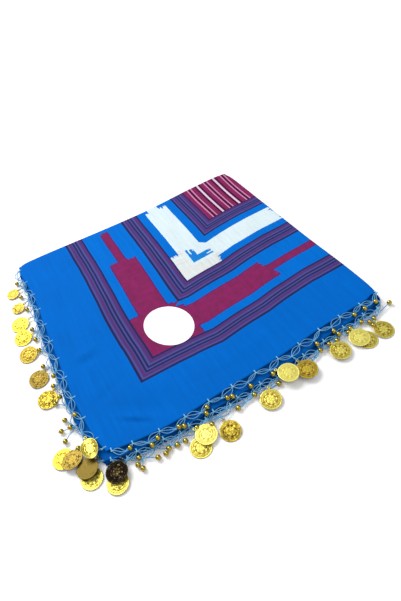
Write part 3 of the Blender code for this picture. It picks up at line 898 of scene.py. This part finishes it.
def make_run(name, run):
    """One run: loops and knots in one piece, its beads in another, and the tips of its loops."""
    ends_x, ends_y = (plan(np.array((0.0, 1.0)), 1, share=run["share"]) if run["side"] == "front"
                      else plan(1, np.array((0.0, 1.0)), share=run["share"]))
    span = float(np.hypot(np.diff(ends_x), np.diff(ends_y))[0]) / MM
    shares = np.append(run["start"] + run["pitch"] * np.arange(run["count"]), run["last"])
    along = shares * span
    knot = np.stack([along, np.full_like(along, KNOT_OUT)], axis=-1)
    tip = np.stack([(along[1:] + along[:-1]) / 2, np.full(len(along) - 1, run["depth"])], axis=-1)
    # No two loops are alike: each tip drifts along and out by sines of its number.
    number = np.arange(len(tip))
    wobble = np.sin(number * 2.4 + len(name))
    tip = tip + np.stack([TIP_DRIFT[0] * wobble, TIP_DRIFT[1] * np.sin(5.1 * number)], axis=-1)

    def place(flat):
        return run_place(run, span, flat[..., 0], flat[..., 1], flat[..., 2])

    paths = place(np.concatenate([loops(knot[:-1], tip, wobble), loops(tip, knot[1:], -wobble)]))
    families = [(0, thread_family(paths, THREAD_RADIUS))]

    # A knot is a row of nubs: the stitch back over the cloth, and three round its foot.
    steps = [(0, -run["stitch"] * part) for part in STITCH_PARTS]
    steps += [(0, 0.2), (0.9, 0.5), (-0.9, 0.5)]
    nubs = at_lift(np.concatenate([knot + step for step in steps]), 0.55)
    families.append((1, ball_family(place(nubs), NUB_RADIUS, 5, 7)))
    families.append((1, ball_family(place(at_lift(tip, 0.1)), JOIN_RADIUS, 5, 7)))

    # A thread from the nearest point of the loops to each bead, out to its far side.
    beads = [(share * span, out, 0.0) for share, out in run["beads"]]
    stubs = []
    for bead in beads:
        flat = np.array(bead[:2])
        point = tip[np.argmin(np.linalg.norm(tip - flat, axis=1))]
        far = flat + BEAD_PASS * unit(flat - point)
        stubs.append([(*point, 0.0), (*((point + flat) / 2), 0.8), (*flat, 0.2), (*far, -0.4)])
    if stubs:
        families.append((0, thread_family(place(np.array(stubs)), THREAD_RADIUS)))
    points, faces, which = gather(*families)
    lace = new_piece(name + "_threads", points, faces, [thread_blue, thread_knot], which)
    face_outwards(lace)
    made = [lace]
    if run["beads"]:
        points, faces = ball_family(place(np.array(beads)), BEAD_RADIUS, 10, 16)
        bead_row = new_piece(name + "_beads", points, faces, [bead_gilt])
        face_outwards(bead_row)
        made.append(bead_row)
    for piece in made:
        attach(piece, "root")
    return made, place(at_lift(tip, 0.0))


edging = {}
tips = []
for name, run in RUNS.items():
    edging[name], run_tips = make_run(name, run)
    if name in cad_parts:
        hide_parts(name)
    tips.append(run_tips)
    print(name, "pieces:", len(edging[name]), "points:", len(run_tips))
tips = np.concatenate(tips)

# %% [markdown]
# ## Stamped coins
#
# The coins are thin sheet, struck with an ornament and gilded. A profile carried round a centre
# gives the disc: flat field, raised rim, edge and back. The strike is a height added to the field
# as a function of radius and angle. It is plain ornament, a flower in a ring of beads with scroll
# work between them. The same height is kept as an attribute, so that dirt can settle in the low
# places.

# %% The coin's form
COIN_SIDES = 56
RING_GAP = 2.2

# A faceted CAD coin is 1.98 times its radius across, and its ring and neck add 4.05 mm.
FACETED_ACROSS = 1.98
RING_REACH = 4.05


def strike(r, a, turn):
    """Height of the strike in mm: a flower, scrolls that wind outwards, and a ring of beads."""
    flower = 0.22 * np.exp(-((r - 0.24) / 0.13) ** 2) * np.abs(np.cos(3 * a + turn)) ** 0.6
    boss = 0.18 * np.exp(-(r / 0.07) ** 2)
    field = np.exp(-((r - 0.52) / 0.15) ** 2)
    scrolls = 0.24 * field * np.sin(5 * a + 11 * r + turn) * np.cos(3 * a - 17 * r + 2 * turn)
    scrolls += 0.12 * field * np.sin(9 * r * np.cos(a + turn) * 3) * np.cos(8 * r * np.sin(a) * 3)
    beads = 0.18 * np.exp(-((r - 0.77) / 0.04) ** 2) * np.maximum(np.cos(22 * a), -0.2)
    return flower + boss + scrolls + beads


def coin_form(radius, turn, depth, bend):
    """Points of a coin round its middle in mm, with the strike at each, and its faces.

    Rows go from the middle of the face out to the rim, over it, and back under to the middle.
    depth scales the strike, and bend lifts the two sides by bend * across^2.
    """
    face_r = np.linspace(0.03, 0.86, 22)
    edge_r = np.array((0.885, 0.91, 0.95, 0.985, 1.0, 1.0, 0.985, 0.95, 0.90, 0.6, 0.3, 0.03))
    edge_z = np.array(
        (0.02, 0.10, 0.13, 0.08, -0.02, -0.30, -0.42, -0.44, -0.34, -0.30, -0.28, -0.28)
    )
    r = np.concatenate([face_r, edge_r])
    z = np.concatenate([np.zeros(len(face_r)), edge_z])
    a = 2 * math.pi * np.arange(COIN_SIDES) / COIN_SIDES
    rr, aa = np.meshgrid(r, a, indexing="ij")
    struck = depth * strike(rr, aa, turn) * (np.arange(len(r)) < len(face_r))[:, None]
    back = 0.6 * strike(rr, -aa, turn + 1) * (np.arange(len(r)) > len(face_r) + 8)[:, None]
    zz = z[:, None] + struck - back
    dome = 0.22 * (1 - rr ** 2)
    across = rr * np.sin(aa)
    zz = zz + dome - 0.1 + bend * across ** 2
    across = across * (1 - 0.07 * bend)
    points = np.stack([radius * across, radius * rr * np.cos(aa), zz], axis=-1)
    quads = grid_quads(len(r), COIN_SIDES)
    n = np.arange(len(r) * COIN_SIDES).reshape(len(r), COIN_SIDES)
    seam = np.stack([n[:-1, -1], n[1:, -1], n[1:, 0], n[:-1, 0]], axis=-1)
    faces = quads.reshape(-1, 4).tolist() + seam.tolist() + [n[0].tolist(), n[-1, ::-1].tolist()]
    return points.reshape(-1, 3), faces, (struck + z[:, None]).ravel()


def coin_seat(node):
    """Where a CAD coin is: its ring's middle, the axes across, along and up, and its radius."""
    mesh = node.data
    flat = np.empty(len(mesh.vertices) * 3, dtype=np.float32)
    mesh.vertices.foreach_get("co", flat)
    points = np.unique(flat.reshape(-1, 3).round(6), axis=0).astype(float)
    middle = points.mean(axis=0)
    axes = np.linalg.svd(points - middle, full_matrices=False)[2]
    along, up = axes[0], axes[2]
    reach = (points - middle) @ along
    if reach.max() < -reach.min():
        along = -along
    if up[2] < 0:
        up = -up
    radius = (np.ptp(reach) / MM - RING_REACH) / FACETED_ACROSS
    ring = middle - along * (radius + RING_GAP) / 2 * MM
    return ring, np.cross(along, up), along, up, radius


# %% The coins' finishes
def struck_metal(name, high, low, dirt, roughness, grime, level):
    """Gilt sheet: colour by the height of the strike, dirt in patches and in the low places.

    grime is how much of it is dirty, and level how light its flat field is.
    """
    gilt = Finish(name, Metallic=0.85, Roughness=roughness)
    where = gilt.node("TexCoord", None, None, out=3)
    height = gilt.node("Attribute", {"attribute_name": "strike"}, None, out=2)
    raised = (height * 4.0 + level).least(1.0).most(0.0)
    colour = gilt.mix(raised, low, high)
    patch = gilt.noise(where, 260.0, 3.0, 0.6)
    spot = gilt.noise(where, 800.0, 2.0)
    dirty = ((patch + spot * 0.5) > (0.86 - grime)) * (1 - raised * 0.6)
    colour = gilt.mix(dirty * 0.85, colour, dirt)
    dull = dirty * 0.3 + spot * 0.12 + roughness
    bump = gilt.node("Bump", None, {"Strength": 0.4, "Distance": 0.0002, "Height": spot})
    gilt.set(gilt.shader, {"Base Color": colour, "Roughness": dull, "Normal": bump})
    return gilt.material


# The raised, the low and the dirty colour of each tone, then its roughness, grime and level.
TONE_TABLE = {
    "bright": ((242, 228, 110), (140, 118, 34), (112, 88, 26), 0.34, -0.01, 0.38),
    "olive": ((212, 190, 66), (126, 106, 30), (90, 70, 22), 0.36, 0.0, 0.45),
    "pale": ((246, 238, 132), (206, 188, 76), (160, 134, 52), 0.36, -0.04, 0.45),
    "deep": ((200, 174, 62), (126, 100, 30), (84, 62, 20), 0.36, 0.02, 0.45),
    "brown": ((114, 96, 36), (90, 75, 29), (66, 52, 22), 0.45, -0.05, 0.45),
    "dark": ((126, 108, 62), (26, 16, 9), (20, 12, 7), 0.45, 0.2, 0.0),
    "dull": ((170, 148, 54), (112, 92, 30), (84, 66, 22), 0.36, 0.0, 0.45),
    "tan": ((148, 125, 50), (102, 84, 32), (76, 58, 20), 0.4, 0.0, 0.45),
    "blotched": ((214, 190, 70), (150, 124, 34), (60, 40, 14), 0.36, 0.12, 0.45),
}
TONES = {
    tone: struck_metal("coin_" + tone, *(dye(*ink) for ink in row[:3]), *row[3:])
    for tone, row in TONE_TABLE.items()
}
COIN_TONES = (
    "bright", "bright", "pale", "bright", "bright", "blotched", "pale", "bright", "bright", "pale",
    "deep", "dark", "dull", "dull", "olive", "olive", "dull", "tan", "blotched", "olive",
    "tan", "brown", "bright", "bright",
)
COIN_STRIKE = {"coin_22": 0.0, "coin_10": 0.5, "coin_13": 0.6}
COIN_BEND = {"coin_24": 3.2, "coin_21": 0.9, "coin_06": 0.5}
print("coin tones:", ", ".join(TONES))

# %% [markdown]
# ## Hanging the coins
#
# Each stamped coin takes the seat of the plain CAD coin that it replaces, which the main axes
# of that coin's points give. Its ring is a small torus with a neck, and a loop of thread ties the
# ring to the nearest point of the edging.

# %% Coins, rings and ties
RING_RADIUS = 1.45
RING_STATIONS = 14
RING_THREAD = 0.5 * MM
NECK_THREAD = 0.45 * MM
TIE_THREAD = 0.38 * MM
NECK = np.array([[(x, y, 0) for y in (1.3, 2.2, 2.9)] for x in (-0.5, 0.5)])


def ring_form():
    """Centre line of the hanging ring in mm, in the coin's plane: radius * (sin a, cos a, 0)."""
    a = np.linspace(0, 2 * math.pi, RING_STATIONS)
    return RING_RADIUS * np.stack([np.sin(a), np.cos(a), 0 * a], axis=-1)


ties = []
for number, tone in enumerate(COIN_TONES, 1):
    node = f"coin_{number:02d}"
    ring, across, along, up, radius = coin_seat(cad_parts[node])
    axes = np.stack([across, along, up])
    form, faces, height = coin_form(
        radius, 0.7 * number, COIN_STRIKE.get(node, 1.0), COIN_BEND.get(node, 0.0)
    )
    disc = ring + (form + (0, radius + RING_GAP, 0)) * MM @ axes
    loop = thread_family((ring + ring_form() * MM @ axes)[None], RING_THREAD, 6)
    neck = thread_family(ring + NECK * MM @ axes, NECK_THREAD, 6)
    points, faces, _ = gather((0, (disc, faces)), (0, loop), (0, neck))
    coin = new_piece(node + "_stamped", points, faces, [TONES[tone]])
    face_outwards(coin)
    value = np.full(len(points), 0.1, dtype=np.float32)
    value[: len(height)] = height
    coin.data.attributes.new("strike", "FLOAT", "POINT").data.foreach_set("value", value)
    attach(coin, "root")
    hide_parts(node)
    nearest = tips[np.argmin(np.linalg.norm(tips - ring, axis=1))]
    t = np.linspace(0, 1, 9)[:, None]
    for side in (-0.5, 0.5):
        line = nearest + (ring - nearest) * t + across * side * MM * np.sin(math.pi * t)
        ties.append(line + (0, 0, 0.5 * MM) * np.sin(math.pi * t))
print("coins:", len(COIN_TONES), "ties:", len(ties))

points, faces = thread_family(np.array(ties), TIE_THREAD)
coin_ties = new_piece("coin_ties", points, faces, [thread_blue])
face_outwards(coin_ties)
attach(coin_ties, "root")

# %% [markdown]
# ## The two cloth pieces
#
# The two cloth pieces together are the whole scarf. The top leaf is a quarter of the cut, and the
# leaves below are the other three quarters, still joined to each other round their folds.

# %% [markdown]
# ## Floor, light and camera
#
# The scarf lies on a plain white surface in a bright, even studio light, with only soft shadows
# where it touches. One large lamp behind and to the left gives those shadows their direction. A
# weaker one in front opens them, and a grey world, lighter above than below, fills the rest.

# %% Stage
STAGE_REACH = 3.0
floor_points = np.array(((-1, -1, 0), (1, -1, 0), (1, 1, 0), (-1, 1, 0))) * STAGE_REACH
paper = Finish("paper_white", Roughness=0.9, Specular_IOR_Level=0.1)
grain = paper.noise(paper.node("TexCoord", None, None, out=3), 3.0, 2.0)
paper.set(paper.shader, {"Base Color": paper.mix(grain, dye(246, 246, 247), dye(250, 250, 250))})
floor = new_piece("floor", floor_points, [[0, 1, 2, 3]], [paper.material], None, False)


def soft_lamp(name, place, size, power):
    """A square area lamp at place that faces the middle of the scarf."""
    light = bpy.data.lights.new(name, "AREA")
    light.size = size
    light.energy = power
    lamp = bpy.data.objects.new(name, light)
    away = unit(np.array(place))
    side = unit(np.cross((0, 0, 1.0), away))
    top = np.cross(away, side)
    matrix = np.eye(4)
    matrix[:3, 0], matrix[:3, 1], matrix[:3, 2], matrix[:3, 3] = side, top, away, place
    lamp.matrix_world = Matrix(matrix)
    bpy.context.collection.objects.link(lamp)


soft_lamp("lamp_back", (-0.45, 1.15, 1.4), 1.1, 34)
soft_lamp("lamp_front", (0.5, -1.2, 1.6), 1.4, 9)

WORLD_GREYS = (0.32, 0.68)
world = bpy.data.worlds.new("studio")
world.use_nodes = True
tree = world.node_tree
direction = tree.nodes.new("ShaderNodeTexCoord").outputs["Generated"]
split = tree.nodes.new("ShaderNodeSeparateXYZ")
ramp = tree.nodes.new("ShaderNodeValToRGB")
for stop, grey in zip(ramp.color_ramp.elements, WORLD_GREYS):
    stop.color = (grey, grey, grey, 1)
tree.links.new(direction, split.inputs[0])
tree.links.new(split.outputs["Z"], ramp.inputs[0])
tree.links.new(ramp.outputs[0], tree.nodes["Background"].inputs["Color"])
bpy.context.scene.world = world
bpy.context.scene.view_settings.view_transform = "Standard"

# %% Camera
EYE = (-0.132721, -0.456331, 0.483294)
RIGHT = (0.86053077, -0.47939036, -0.1722547)
UP = (0.46383419, 0.59760999, 0.65400317)
FORWARD = (0.21058169, 0.64268747, -0.73661942)
view = bpy.data.cameras.new("camera")
view.lens = 30.03
view.sensor_width = 36
camera = bpy.data.objects.new("camera", view)
matrix = np.eye(4)
matrix[:3, 0], matrix[:3, 1], matrix[:3, 2], matrix[:3, 3] = RIGHT, UP, -np.array(FORWARD), EYE
camera.matrix_world = Matrix(matrix)
bpy.context.collection.objects.link(camera)
bpy.context.scene.camera = camera
